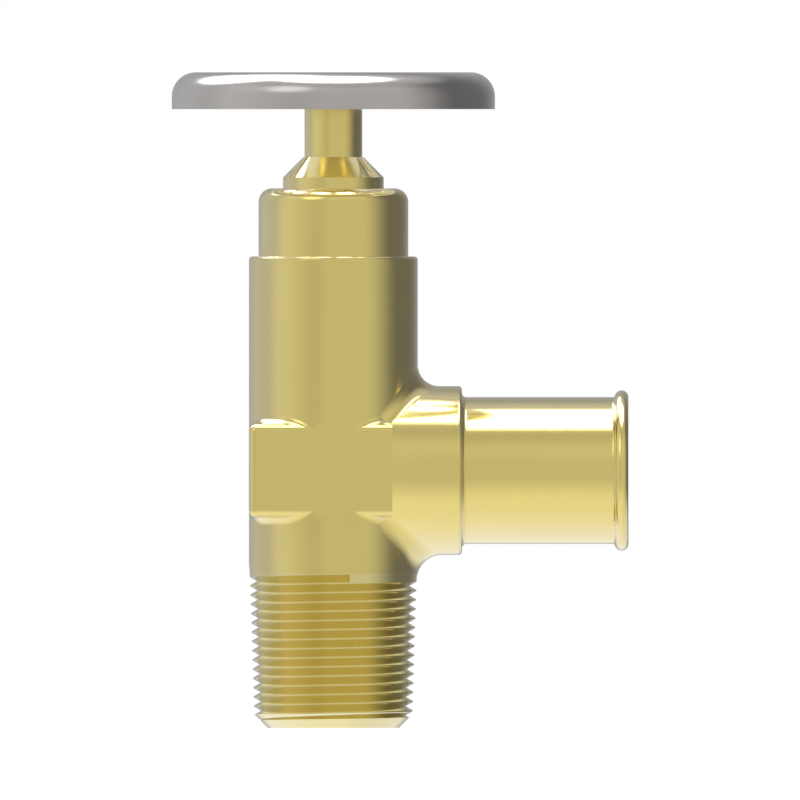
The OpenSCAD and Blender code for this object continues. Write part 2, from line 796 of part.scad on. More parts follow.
valve_body();
bonnet();
bonnet_o_ring();
packing_washer();
packing_ring(1);  // packing_ring_1
packing_ring(2);  // packing_ring_2
packing_ring(3);  // packing_ring_3
gland_follower();
packing_nut();
stem();
swivel_clip();
disc_holder();
seat_washer();
seat_washer_retainer();
seat_screw();
handwheel();
wheel_washer();
lock_washer();
wheel_screw();
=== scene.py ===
"""Drain valve: cuts the pipe thread, gives every piece its finish and sets up a plain studio.

Laid out as an add-on and run as a script. All lengths are in metres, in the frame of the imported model:
the origin is the centre of the inlet's end face, +Z runs up the stem and +X out along the hose nozzle.
"""

import json
import math

import bmesh
import bpy
import numpy as np
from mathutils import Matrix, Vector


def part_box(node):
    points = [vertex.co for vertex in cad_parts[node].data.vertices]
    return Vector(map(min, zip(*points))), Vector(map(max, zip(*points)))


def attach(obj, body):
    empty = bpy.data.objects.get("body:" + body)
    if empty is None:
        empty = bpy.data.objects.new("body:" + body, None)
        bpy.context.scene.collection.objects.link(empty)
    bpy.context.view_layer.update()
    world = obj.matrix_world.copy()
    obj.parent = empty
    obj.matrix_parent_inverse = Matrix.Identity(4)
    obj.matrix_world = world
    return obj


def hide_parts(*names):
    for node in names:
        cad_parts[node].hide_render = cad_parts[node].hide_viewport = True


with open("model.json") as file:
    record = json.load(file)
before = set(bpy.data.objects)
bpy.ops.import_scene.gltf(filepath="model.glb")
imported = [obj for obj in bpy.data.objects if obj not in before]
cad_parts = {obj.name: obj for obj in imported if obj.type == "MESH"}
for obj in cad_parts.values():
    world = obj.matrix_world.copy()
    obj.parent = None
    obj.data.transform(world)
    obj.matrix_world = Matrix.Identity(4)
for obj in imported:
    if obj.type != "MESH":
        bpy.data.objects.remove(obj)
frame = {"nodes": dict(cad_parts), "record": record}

bl_info = {
    "name": "Drain valve finish",
    "version": (1, 0, 0),
    "blender": (4, 5, 0),
    "location": "View3D > Sidebar > Drain valve",
    "description": "Cuts the pipe thread, gives each piece its finish and sets up the studio",
    "category": "Object",
}

MM = 0.001
MICRON = 1e-6
WELD = 0.1 * MICRON  # points nearer than this are one point
SLIVER = 2 * MICRON  # a cut's edges under this length are folded up
PATH_STEPS = 3000  # centres along a rolling ball's path
NORMALS = "true_normal"  # corner attribute that carries the surface's own normals through the cut
MOUNTS = {mount["name"]: mount for mount in frame["record"]["mounts"]}
COLUMN_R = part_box("valve_body")[1].y
WHEEL_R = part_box("handwheel")[1].y
OUTLET_Z = MOUNTS["hose_nozzle"]["pos_m"][2]
THREAD_R = MOUNTS["pipe_thread"]["dims"]["r_mm"] * MM
THREAD_LEN = MOUNTS["pipe_thread"]["dims"]["length_mm"] * MM


def length(name, description, default, low, high):
    """A length property in metres."""
    return bpy.props.FloatProperty(
        name=name, description=description, default=default, min=low, max=high, subtype="DISTANCE",
        unit="LENGTH", precision=6)


def angle(name, description, degrees, low, high):
    """An angle property, given in degrees."""
    return bpy.props.FloatProperty(
        name=name, description=description, default=math.radians(degrees), min=math.radians(low),
        max=math.radians(high), subtype="ANGLE", unit="ROTATION")


def share(name, description, default, high=1.0):
    """A plain number from 0 to high."""
    return bpy.props.FloatProperty(name=name, description=description, default=default, min=0, max=high)


def colour(name, description, default):
    """A linear colour property."""
    return bpy.props.FloatVectorProperty(
        name=name, description=description, default=default, min=0, max=1, size=3, subtype="COLOR")


class PipeThreadSizes(bpy.types.PropertyGroup):
    """Sizes of the tapered thread on the foot."""

    pitch: length("Pitch", "Distance between neighbouring crests", 1.217 * MM, 0.9 * MM, 2 * MM)
    crest: share("Crest", "Width of the crest's flat as a share of the pitch", 0.125, 0.4)
    flank: angle("Flank", "Half of the angle between the flanks", 30, 20, 40)
    taper: share("Taper", "Growth of the diameter per unit of length", 0.0625, 0.2)
    start_angle: angle("Start", "Direction in which the groove starts, about the stem's axis", 281.3, 0, 360)
    start_z: length("Start height", "Height of the groove's root where it starts",
                    19.633 * MM, 18 * MM, 20 * MM)
    run_out: length("Run-out", "How far the groove runs on below the end face", 0.9 * MM, 0.6 * MM, 2 * MM)


class BodySizes(bpy.types.PropertyGroup):
    """Sizes of the body's rolled fillets and its block, as the solid has them."""

    boss_r: length("Boss", "Radius of the boss", 11.1 * MM, 8 * MM, 14 * MM)
    shoulder_h: length("Shoulder", "Height of the bevel over the thread", 1.7 * MM, 0.5 * MM, 3 * MM)
    upper_r: length("Upper fillet", "Fillet above the boss", 2.8 * MM, 1 * MM, 4 * MM)
    lower_r: length("Lower fillet", "Fillet below the boss", 3.3 * MM, 1 * MM, 4 * MM)
    ledge_r: length("Ledge fillet", "Fillet between the block's ledges and the column",
                    1.3 * MM, 0.5 * MM, 2 * MM)
    block_w: length("Block", "Distance across the block's flats", 21.65 * MM, 20 * MM, 24 * MM)
    block_side: length("Block side", "From the stem's axis to the block's side away from the boss",
                       11.12 * MM, 9 * MM, 13 * MM)
    block_h: length("Block height", "Height of the block", 12.2 * MM, 10 * MM, 15 * MM)
    edge_r: length("Block edge", "Rounding of the block's edges", 0.92 * MM, 0.3 * MM, 2 * MM)


class FinishSettings(bpy.types.PropertyGroup):
    """Colours and gloss of the pieces."""

    brass: colour("Brass", "Polished brass of the body, bonnet, nut and stem", (0.82, 0.68, 0.232))
    brass_gloss: share("Brass roughness", "Roughness of the polished brass", 0.14)
    # Cut brass of the thread, made lighter still: painted light that offsets the darkening of light bouncing
    # between the flanks.
    cut_painted_light: colour("Cut brass", "Brass of the cut thread", (0.842, 0.73, 0.315))
    turned: colour("Turned brass", "Bare turned brass of the inner pieces", (0.76, 0.62, 0.29))
    turned_gloss: share("Turned roughness", "Roughness of the turned brass", 0.26)
    wheel: colour("Wheel", "Satin metal of the handwheel", (0.55, 0.523, 0.503))
    # Uncoated sheet, painted lighter than the coat: painted light, so that the handwheel's mirror images in
    # the brass come out brighter.
    bare_and_painted_light: colour("Bare sheet", "Bare sheet under the handwheel and in its openings", (0.88, 0.865, 0.84))
    wheel_gloss: share("Wheel roughness", "Roughness of the handwheel", 0.2)
    rubber: colour("Rubber", "Seat washer and O-ring", (0.018, 0.018, 0.019))
    rubber_gloss: share("Rubber roughness", "Roughness of the rubber", 0.58)
    packing: colour("Packing", "Fluoropolymer packing rings", (0.78, 0.77, 0.73))
    packing_gloss: share("Packing roughness", "Roughness of the packing rings", 0.42)
    zinc: colour("Zinc", "Bright zinc plate of the wheel screw and its washer", (0.62, 0.63, 0.64))
    zinc_gloss: share("Zinc roughness", "Roughness of the zinc plate", 0.24)
    spring: colour("Spring steel", "Lock washer and clip", (0.33, 0.33, 0.34))
    spring_gloss: share("Spring roughness", "Roughness of the spring steel", 0.32)


class StudioSettings(bpy.types.PropertyGroup):
    """Floor, light and camera."""

    floor: colour("Floor", "Colour of the floor", (0.9, 0.9, 0.9))
    floor_size: length("Floor size", "Side of the floor", 3, 1, 10)
    front: share("Front", "Brightness of the studio in front of the valve, as metal mirrors it", 0.672, 4)
    side: share("Side", "Brightness of the left wall", 0.55, 4)
    shade: share("Shade", "Brightness of the shaded right wall", 0.165, 4)
    back: share("Back", "Brightness of the studio behind the valve", 0.38, 4)
    upper: share("Upper walls", "Brightness between the walls and the softbox", 0.56, 4)
    ground: share("Ground", "Brightness of the ground that metal mirrors from below", 0.99, 4)
    softbox: share("Softbox", "Brightness of the round softbox overhead", 4.6, 10)
    window: share("Window", "Brightness of the wide panel behind on the left", 3.2, 10)
    key: share("Key", "Brightness of the small lamp in front on the left", 0.72, 10)
    view_width: length("View", "Width that the camera takes in", 0.1052, 0.05, 0.5)
    view_x: length("View centre", "Where the camera stands along the nozzle", 8.758 * MM, -0.1, 0.1)
    view_z: length("View height", "Height of the camera", 43.12 * MM, 0, 0.2)


# Meshes


def read(items, name, width, kind=np.float64):
    """One attribute of a mesh's collection as an array with width columns."""
    flat = np.empty(len(items) * width, np.float32 if kind is np.float64 else kind)
    items.foreach_get(name, flat)
    return flat.reshape(-1, width).astype(kind) if width > 1 else flat


def unit(v):
    """Each row divided by its length."""
    return v / np.maximum(np.linalg.norm(v, axis=-1, keepdims=True), 1e-20)


def facets(points, triangles):
    """The unit normal of each triangle."""
    a, b, c = (points[triangles[:, corner]] for corner in range(3))
    return unit(np.cross(b - a, c - a))


def mesh_object(name, points, faces, normals=None):
    """A mesh object at the origin, with one normal for each face corner where they are given."""
    mesh = bpy.data.meshes.new(name)
    mesh.vertices.add(len(points))
    mesh.vertices.foreach_set("co", points.astype(np.float32).ravel())
    mesh.loops.add(faces.size)
    mesh.loops.foreach_set("vertex_index", faces.astype(np.int32).ravel())
    mesh.polygons.add(len(faces))
    mesh.polygons.foreach_set("loop_start", np.arange(0, faces.size, faces.shape[1], dtype=np.int32))
    mesh.polygons.foreach_set("use_smooth", np.ones(len(faces), bool))
    mesh.update(calc_edges=True)
    if normals is not None:
        carried = mesh.attributes.new(NORMALS, "FLOAT_VECTOR", "CORNER")
        carried.data.foreach_set("vector", normals.astype(np.float32).ravel())
    piece = bpy.data.objects.new(name, mesh)
    bpy.context.scene.collection.objects.link(piece)
    return piece


def welded_copy(node):
    """(points, triangles, corner normals) of a CAD node's mesh, with its loose triangles joined.

    Points that round to the same multiple of WELD become one, and triangles that this folds up are left out.
    """
    mesh = frame["nodes"][node].data
    points = read(mesh.vertices, "co", 3)
    corners = read(mesh.loops, "vertex_index", 1, np.int32)
    normals = read(mesh.corner_normals, "vector", 3).reshape(-1, 3, 3)
    _, first, index = np.unique(np.round(points / WELD).astype(np.int64), axis=0, return_index=True,
                                return_inverse=True)
    triangles = index.reshape(-1)[corners].reshape(-1, 3)
    whole = ((triangles[:, 0] != triangles[:, 1]) & (triangles[:, 1] != triangles[:, 2])
             & (triangles[:, 2] != triangles[:, 0]))
    return points[first], triangles[whole], normals[whole]


def body_radius(z, thread, sizes):
    """Radius of the body's outside at height z: the thread's crest cone, then the bevel, then the column."""
    crest = THREAD_R + z * thread.taper / 2
    top = THREAD_R + THREAD_LEN * thread.taper / 2
    return np.interp(z, [THREAD_LEN, THREAD_LEN + sizes.shoulder_h], [top, COLUMN_R]) * (z > THREAD_LEN) \
        + crest * (z <= THREAD_LEN)


def boss_ball_path(r, side, thread, sizes):
    """Centres of the ball of radius r that rolls between column and boss, above (1) or below (-1).

    The centre stays r outside both cylinders: y = (boss + r) sin a, z = outlet +- (boss + r) cos a,
    and x from x^2 + y^2 = (body radius + r)^2.
    """
    reach = sizes.boss_r + r
    a = np.linspace(-math.pi / 2, math.pi / 2, PATH_STEPS)
    y, z = reach * np.sin(a), OUTLET_Z + side * reach * np.cos(a)
    x2 = (body_radius(z, thread, sizes) + r) ** 2 - y ** 2
    keep = x2 > 0
    return np.stack([np.sqrt(x2[keep]), y[keep], z[keep]], axis=1)


def ledge_ball_path(sizes):
    """Centres of the ball that rolls round the column on the block's ledges, over their rounded edges.

    At angle a the centre is r outside the column, and h above the edge's own axis, where h is the height of a
    right triangle whose slope is edge + r and whose foot is how far the centre lies past that axis.
    """
    r, reach = sizes.ledge_r, sizes.edge_r + sizes.ledge_r
    a = np.linspace(0, 2 * math.pi, PATH_STEPS)
    out = np.stack([np.cos(a), np.sin(a)], axis=1)
    over_side = np.abs(out[:, 0]) > np.abs(out[:, 1])
    edge_axis = np.where(over_side, sizes.block_side, sizes.block_w / 2) - sizes.edge_r
    past = np.maximum(0, (COLUMN_R + r) * np.abs(out).max(axis=1) - edge_axis)
    keep = past < reach
    h = np.sqrt(np.maximum(reach ** 2 - past ** 2, 0)) + sizes.block_h / 2 - sizes.edge_r
    flat = (COLUMN_R + r) * out[keep]
    return np.concatenate([np.column_stack([flat, OUTLET_Z + side * h[keep]]) for side in (1, -1)])


def smooth_fillet(points, triangles, normals, path, r, slack=0.06 * MM, lean=0.94):
    """Gives the flat facets of a rolled fillet the ball's own normals, (centre - p) / |centre - p|.

    A facet belongs to the fillet if its middle and its corners lie r from the nearest centre, within the
    slack, and its own normal leans little from the ball's: the product of the two is over the lean.
    """
    at_once = 2000
    p = points[triangles]
    middle = p.mean(axis=1)
    margin = 1.2 * r
    low, high = path.min(axis=0) - margin, path.max(axis=0) + margin
    near = np.flatnonzero(((middle > low) & (middle < high)).all(axis=1))
    if not len(near):
        raise RuntimeError("no facet lies near a fillet's path")

    def to_ball(q):
        """Vector from each point to the nearest centre, in slices that keep the table small."""
        return np.concatenate([
            path[((part[:, None] - path[None]) ** 2).sum(axis=2).argmin(axis=1)] - part
            for part in np.array_split(q, max(1, len(q) // at_once))])

    inwards = to_ball(middle[near])
    gap = np.abs(np.linalg.norm(inwards, axis=1) - r)
    near = near[(gap < slack) & ((facets(points, triangles[near]) * unit(inwards)).sum(axis=1) > lean)]
    corners = to_ball(p[near].reshape(-1, 3)).reshape(-1, 3, 3)
    fits = (np.abs(np.linalg.norm(corners, axis=2) - r) < slack).all(axis=1)
    normals[near[fits]] = unit(corners[fits])
    return int(fits.sum())


def thread_cutter(thread, per_turn=180):
    """Closed bar of triangular section that follows the groove: a helix on the crest cone.

    Turning clockwise from the start by t turns, the root is at z = start - pitch t, depth below the cone.
    The bar's outer corners lie above and below it by half its width, which grows by tan(flank) per unit of
    radius.
    """
    slope = math.tan(thread.flank)
    depth = thread.pitch * (1 - thread.crest) / 2 / slope
    proud = 0.06 * MM
    turns = (thread.start_z + thread.run_out) / thread.pitch
    count = int(round(turns * per_turn)) + 1
    t = np.linspace(0, turns, count)
    a = thread.start_angle - 2 * math.pi * t
    z = thread.start_z - thread.pitch * t
    crest = THREAD_R + z * thread.taper / 2
    half = (depth + proud) * slope
    section = [(crest - depth, z), (crest + proud, z + half), (crest + proud, z - half)]
    points = np.stack([np.stack([r * np.cos(a), r * np.sin(a), h], axis=1) for r, h in section], axis=1)
    # strip s runs from line s to line s + 1; its normal is the cross product of the ways along and across
    i = np.arange(count - 1)[:, None] * 3
    s = np.arange(3)[None]
    quads = np.stack([i + s, i + (s + 1) % 3, i + 3 + (s + 1) % 3, i + 3 + s], axis=2)
    across = np.roll(points, -1, axis=1) - points
    along = np.gradient(points, axis=0)
    at_line = unit(np.cross(along, across))
    at_next = unit(np.cross(np.roll(along, -1, axis=1), across))
    normals = np.stack([at_line[:-1], at_next[:-1], at_next[1:], at_line[1:]], axis=2)
    triangles = np.concatenate([quads[..., [0, 1, 2]], quads[..., [0, 2, 3]]]).reshape(-1, 3)
    normals = np.concatenate([normals[:, :, [0, 1, 2]], normals[:, :, [0, 2, 3]]]).reshape(-1, 3, 3)
    ends = np.array([[0, 2, 1], [3 * count - 3, 3 * count - 2, 3 * count - 1]])
    flat = points.reshape(-1, 3)
    triangles = np.concatenate([triangles, ends])
    normals = np.concatenate([normals, np.repeat(facets(flat, ends)[:, None], 3, axis=1)])
    # all faces turn outwards together if the bar's volume comes out negative
    q = flat[triangles]
    if (q[:, 0] * np.cross(q[:, 1], q[:, 2])).sum() < 0:
        triangles, normals = triangles[:, ::-1], normals[:, ::-1]
    outwards = facets(flat, triangles)[:, None]
    normals = normals * np.sign((normals * outwards).sum(axis=2, keepdims=True))
    return mesh_object("thread_cutter", flat, triangles, normals)


def corner_cutter(sizes, steps=20):
    """Closed shells outside the balls that round the block's corners away from the boss, above and below.

    Each ball touches the block's three sides at its corner. Its shell is the eighth of it that looks out: the
    points (i, j, steps - i - j) of a triangle's grid, divided by their length and multiplied by a radius. The
    outer radius reaches past the tip where the three rounded edges meet, 1.22 radii from the ball's centre.
    """
    clear = 0.0005 * MM
    inner, outer = sizes.edge_r + clear, sizes.edge_r * 1.5
    line = np.arange(steps + 1)
    i, j = (grid.ravel() for grid in np.meshgrid(line, line, indexing="ij"))
    inside = i + j <= steps
    number = np.cumsum(inside).reshape(steps + 1, steps + 1) - 1
    i, j = i[inside], j[inside]
    out = unit(np.stack([i, j, steps - i - j], axis=1).astype(float))

    def fan(keep, *corners):
        """Triangles at the kept grid points, whose corners lie so many steps on along i and j."""
        return np.stack([number[i[keep] + di, j[keep] + dj] for di, dj in corners], axis=1)

    patch = np.concatenate([fan(i + j < steps, (0, 0), (1, 0), (0, 1)),
                            fan(i + j < steps - 1, (1, 0), (1, 1), (0, 1))])
    far = len(out)
    walls = [np.concatenate([np.stack([rim[:-1], rim[1:], rim[1:] + far], axis=1),
                             np.stack([rim[:-1], rim[1:] + far, rim[:-1] + far], axis=1)])
             for rim in (number[0, line], number[line, 0], number[line, steps - line])]
    triangles = np.concatenate([patch, patch + far, *walls])
    points = np.concatenate([out * inner, out * outer])
    sideways = [np.broadcast_to(-axis, (len(wall), 3, 3)) for axis, wall in zip(np.eye(3), walls)]
    normals = np.concatenate([-out[patch], out[patch], *sideways])
    turned = (facets(points, triangles) * normals.mean(axis=1)).sum(axis=1) < 0
    triangles[turned], normals[turned] = triangles[turned, ::-1], normals[turned, ::-1]
    reach = np.array([sizes.block_side, sizes.block_w / 2, sizes.block_h / 2]) - sizes.edge_r
    shells = []
    for count, (across, upright) in enumerate([(1, 1), (1, -1), (-1, 1), (-1, -1)]):
        sign = np.array([-1, across, upright])
        centre = reach * sign + [0, 0, OUTLET_Z]
        # a mirrored shell's faces are turned back
        order = slice(None, None, int(-across * upright))
        shells.append((points * sign + centre, triangles[:, order] + count * len(points),
                       (normals * sign)[:, order]))
    return mesh_object("corner_cutter", *(np.concatenate(items) for items in zip(*shells)))


def cut(piece, cutter):
    """Takes the cutter from the piece. The corner normals come through the cut as an attribute."""
    tool = piece.modifiers.new("cut", "BOOLEAN")
    tool.operation, tool.solver, tool.object = "DIFFERENCE", "EXACT", cutter
    graph = bpy.context.evaluated_depsgraph_get()
    result = bpy.data.meshes.new_from_object(piece.evaluated_get(graph), preserve_all_data_layers=True,
                                             depsgraph=graph)
    piece.modifiers.clear()
    bpy.data.objects.remove(cutter)
    piece.data = result
    result.name = piece.name
    return result


def drop_slivers(mesh):
    """Folds up the slivers that a cut leaves where two surfaces nearly touch."""
    work = bmesh.new()
    work.from_mesh(mesh)
    bmesh.ops.dissolve_degenerate(work, dist=SLIVER, edges=work.edges)
    work.to_mesh(mesh)
    work.free()


def set_normals(mesh):
    """Turns the carried normals into the mesh's own.

    One that points into its face came from the cutter and is turned back. One that leans over 60 degrees from
    its face was lost in the cut, and the face's own takes its place.
    """
    least_lean = 0.5
    carried = unit(read(mesh.attributes[NORMALS].data, "vector", 3))
    starts = read(mesh.polygons, "loop_start", 1, np.int32)
    totals = read(mesh.polygons, "loop_total", 1, np.int32)
    face = np.repeat(np.arange(len(totals)), totals)
    flat = read(mesh.polygons, "normal", 3)[face]
    lean = (carried * flat).sum(axis=1)
    inside = np.add.reduceat(lean, starts) < 0
    carried[inside[face]] *= -1
    lost = (np.abs(lean) < least_lean) | ~np.isfinite(lean)
    carried[lost] = flat[lost]
    mesh.attributes.remove(mesh.attributes[NORMALS])
    mesh.polygons.foreach_set("use_smooth", np.ones(len(mesh.polygons), bool))
    mesh.normals_split_custom_set(carried.astype(np.float32).tolist())


# Materials


class Wire:
    """An output socket whose arithmetic adds Math nodes to the same finish."""

    def __init__(self, bench, socket):
        self.bench, self.socket = bench, socket

    def math(self, operation, *values):
        """One Math node on these values."""
        return self.bench.add("ShaderNodeMath", {"operation": operation}, dict(enumerate(values)))

    def __add__(self, other):
        return self.math("ADD", self, other)

    def __sub__(self, other):
        return self.math("SUBTRACT", self, other)

    def __rsub__(self, other):
        return self.math("SUBTRACT", other, self)

    def __mul__(self, other):
        return self.math("MULTIPLY", self, other)

    def __pow__(self, other):
        return self.math("POWER", self, other)

    __radd__, __rmul__ = __add__, __mul__

    def unsigned(self):
        """The value without its sign."""
        return self.math("ABSOLUTE", self)

    def swing(self, amount):
        """A noise about its middle, so that it takes off as much as it adds."""
        return (self - 0.5) * amount

    def step(self, low, high):
        """Smooth step from 0 at low to 1 at high."""
        return self.bench.add("ShaderNodeMapRange", {"interpolation_type": "SMOOTHSTEP"},
                              {"Value": self, "From Min": low, "From Max": high})


class Bench:
    """Adds nodes to one material's or world's tree."""

    def __init__(self, owner):
        owner.use_nodes = True
        self.tree = owner.node_tree
        self.tree.nodes.clear()

    def add(self, kind, settings=None, inputs=None, out=0):
        """A node of a kind: its settings first, then the values or wires of its sockets."""
        node = self.tree.nodes.new(kind)
        for name, value in (settings or {}).items():
            setattr(node, name, value)
        for name, value in (inputs or {}).items():
            socket = node.inputs[name]
            if isinstance(value, Wire):
                self.tree.links.new(value.socket, socket)
            elif socket.type == "RGBA" and len(value) == 3:
                socket.default_value = (*value, 1)
            else:
                socket.default_value = value
        return Wire(self, node.outputs[out]) if node.outputs else node

    def place(self):
        """Object coordinates in metres."""
        return self.add("ShaderNodeTexCoord", out="Object")

    def parts(self, vector):
        """The x, y and z of a vector."""
        first = self.add("ShaderNodeSeparateXYZ", {}, {0: vector})
        return [Wire(self, s) for s in first.socket.node.outputs]

    def round_axis(self, place):
        """Distance from the stem's axis, and height."""
        x, y, z = self.parts(place)
        return (x * x + y * y) ** 0.5, z

    def vector(self, x, y, z):
        """A vector of three values or wires."""
        return self.add("ShaderNodeCombineXYZ", {}, {0: x, 1: y, 2: z})

    def squeezed(self, vector, times):
        """A vector with each of its parts multiplied: a texture on it is drawn out where times is under 1."""
        return self.add("ShaderNodeVectorMath", {"operation": "MULTIPLY"}, {0: vector, 1: times})

    def noise(self, vector, per_metre, detail):
        """Noise with about so many waves per metre."""
        return self.add("ShaderNodeTexNoise", {}, {"Vector": vector, "Scale": per_metre, "Detail": detail},
                        "Fac")

    def blend(self, factor, a, b):
        """Colour mix from a to b."""
        return self.add("ShaderNodeMix", {"data_type": "RGBA"}, {0: factor, 6: a, 7: b}, 2)

    def bump(self, height, depth):
        """Normal for a height that stands for depth metres."""
        return self.add("ShaderNodeBump", {}, {"Height": height, "Distance": depth, "Strength": 1.0})


def finish(name, build):
    """A material with one Principled shader whose sockets build(bench) gives."""
    made = bpy.data.materials.new(name)
    bench = Bench(made)
    shader = bench.add("ShaderNodeBsdfPrincipled", {}, build(bench))
    bench.add("ShaderNodeOutputMaterial", {}, {"Surface": shader})
    return made


def scaled(shade, factor):
    """A colour made lighter or darker."""
    return tuple(min(1.0, c * factor) for c in shade)


def clear_coat(bench):
    """Sockets of a hard clear coat that shows only where the surface turns away."""
    facing = bench.add("ShaderNodeLayerWeight", {}, {"Blend": 0.5}, "Facing")
    return {"Coat Weight": facing.step(0.05, 0.55), "Coat Roughness": 0.08, "Coat IOR": 3.0}


def polished_brass(bench, look, cut_painted_light_below=None):
    """Lacquered polished brass: faint cloudy tone and faint rings left by the lathe."""
    place = bench.place()
    z = bench.parts(place)[2]
    cloud = bench.noise(place, per_metre=90, detail=3)
    haze = bench.noise(place, per_metre=900, detail=2)
    rings = bench.noise(bench.vector(z, 0.0, 0.0), per_metre=5200, detail=1)
    tone = cloud * 0.7 + rings * 0.3
    base = bench.blend(tone.step(0.3, 0.7), scaled(look.brass, 0.975), scaled(look.brass, 1.02))
    # painted light: everything below the groove's top takes the lighter cut-brass colour, against the
    # darkening between the flanks
    if cut_painted_light_below is not None:
        border = 0.1 * MM
        base = bench.blend(z.step(cut_painted_light_below, cut_painted_light_below + border), look.cut_painted_light, base)
    return {
        "Base Color": base,
        "Metallic": 1.0,
        "Roughness": look.brass_gloss + haze.swing(0.05) + rings.swing(0.04),
        "Normal": bench.bump(rings * 0.6 + haze * 0.4, depth=0.6 * MICRON),
        **clear_coat(bench),
    }


def turned_brass(bench, look):
    """Bare turned brass: rings of the tool about Z, a little dulled."""
    place = bench.place()
    radius, z = bench.round_axis(place)
    rings = bench.noise(bench.vector(z, radius, 0.0), per_metre=4200, detail=2)
    cloud = bench.noise(place, per_metre=220, detail=4)
    return {
        "Base Color": bench.blend(cloud.step(0.3, 0.75), look.turned, scaled(look.turned, 0.86)),
        "Metallic": 1.0,
        "Roughness": look.turned_gloss + rings.swing(0.16) + cloud.swing(0.1),
        "Normal": bench.bump(rings, depth=3 * MICRON),
    }


def satin_wheel(bench, look):
    """Satin coated sheet, uncoated and painted lighter underneath: very fine round brushing about the stem's
    axis over a faint cloud.

    The uncoated side is what faces down and, within the rim, what stands upright, such as the openings'
    walls. Its lighter colour is painted light, which brightens the wheel's mirror images in the brass.
    """
    place = bench.place()
    radius, z = bench.round_axis(place)
    brushed = bench.noise(bench.vector(radius, z, 0.0), per_metre=7000, detail=2)
    grain = bench.noise(place, per_metre=2600, detail=3)
    cloud = bench.noise(place, per_metre=70, detail=3)
    coated = bench.blend(cloud.step(0.3, 0.7), scaled(look.wheel, 0.97), scaled(look.wheel, 1.03))
    up = bench.parts(bench.add("ShaderNodeTexCoord", out="Normal"))[2]
    # painted light: faces that look down, and upright faces within the rim, take the lighter colour so that
    # their mirror images in the brass come out brighter
    within_rim = 1 - radius.step(WHEEL_R - 1 * MM, WHEEL_R - 0.8 * MM)
    bare_and_painted_light_side = (within_rim * 0.6 - up).step(0.25, 0.4)
    return {
        "Base Color": bench.blend(bare_and_painted_light_side, coated, look.bare_and_painted_light),
        "Metallic": 1.0,
        "Roughness": look.wheel_gloss + brushed.swing(0.06) + grain.swing(0.06),
        "Normal": bench.bump(brushed * 0.5 + grain * 0.5, depth=0.8 * MICRON),
        **clear_coat(bench),
    }


def moulded_rubber(bench, look):
    """Matte black rubber with a moulded grain and a little bloom."""
    place = bench.place()
    grain = bench.noise(place, per_metre=5200, detail=4)
    bloom = bench.noise(place, per_metre=260, detail=4)
    return {
        "Base Color": bench.blend(bloom.step(0.45, 0.8), look.rubber, scaled(look.rubber, 2.6)),
        "Roughness": look.rubber_gloss + grain.swing(0.2),
        "Normal": bench.bump(grain, depth=6 * MICRON),
    }


def pressed_packing(bench, look):
    """Waxy white fluoropolymer with faint pressed layers."""
    layers = bench.noise(bench.squeezed(bench.place(), (0.2, 0.2, 3)), per_metre=900, detail=3)
    return {
        "Base Color": bench.blend(layers.step(0.3, 0.7), scaled(look.packing, 0.93), look.packing),
        "Roughness": look.packing_gloss + layers.swing(0.15),
        "Subsurface Weight": 0.15,
        "Subsurface Radius": (1 * MM, 1 * MM, 1 * MM),
        "Normal": bench.bump(layers, depth=8 * MICRON),
    }


def plated_steel(bench, shade, gloss):
    """Plated or oiled steel: fine turning rings and a soft spangle."""
    place = bench.place()
    radius, z = bench.round_axis(place)
    rings = bench.noise(bench.vector(radius, z, 0.0), per_metre=6500, detail=2)
    spangle = bench.noise(place, per_metre=1300, detail=3)
    return {
        "Base Color": bench.blend(spangle.step(0.35, 0.7), scaled(shade, 0.92), scaled(shade, 1.04)),
        "Metallic": 1.0,
        "Roughness": gloss + rings.swing(0.12) + spangle.swing(0.08),
        "Normal": bench.bump(rings, depth=2 * MICRON),
    }


def dress(nodes, material):
    """Gives CAD nodes, or pieces, their material."""
    for name in nodes:
        mesh = bpy.data.objects[name].data
        mesh.materials.clear()
        mesh.materials.append(material)


# Operators


class VALVE_OT_threaded_body(bpy.types.Operator):
    """Valve body with smooth fillets, ball-rounded block corners and the pipe thread on its foot"""

    bl_idname = "valve.threaded_body"
    bl_label = "Threaded body"

    def execute(self, context):
        scene = context.scene
        thread, sizes, look = scene.valve_thread, scene.valve_body, scene.valve_finish
        points, triangles, normals = welded_copy("valve_body")
        fillets = (
            (boss_ball_path(sizes.upper_r, 1, thread, sizes), sizes.upper_r),
            (boss_ball_path(sizes.lower_r, -1, thread, sizes), sizes.lower_r),
            (ledge_ball_path(sizes), sizes.ledge_r),
        )
        found = [smooth_fillet(points, triangles, normals, path, r) for path, r in fillets]
        if min(found) == 0:
            raise RuntimeError(f"a fillet has no facets: {found}")
        body = mesh_object("threaded_body", points, triangles, normals)
        drop_slivers(cut(body, corner_cutter(sizes)))
        set_normals(cut(body, thread_cutter(thread)))
        groove_top = thread.start_z + thread.pitch / 2
        dress([body.name], finish("forged_brass", lambda bench: polished_brass(bench, look, groove_top)))
        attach(body, "valve")
        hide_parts("valve_body")
        return {"FINISHED"}


class VALVE_OT_bright_pieces(bpy.types.Operator):
    """Polished brass for the bonnet, the packing nut and the stem"""

    bl_idname = "valve.bright_pieces"
    bl_label = "Bonnet, nut and stem"

    def execute(self, context):
        look = context.scene.valve_finish
        dress(["bonnet", "packing_nut", "stem"],
              finish("turned_bright_brass", lambda bench: polished_brass(bench, look)))
        return {"FINISHED"}


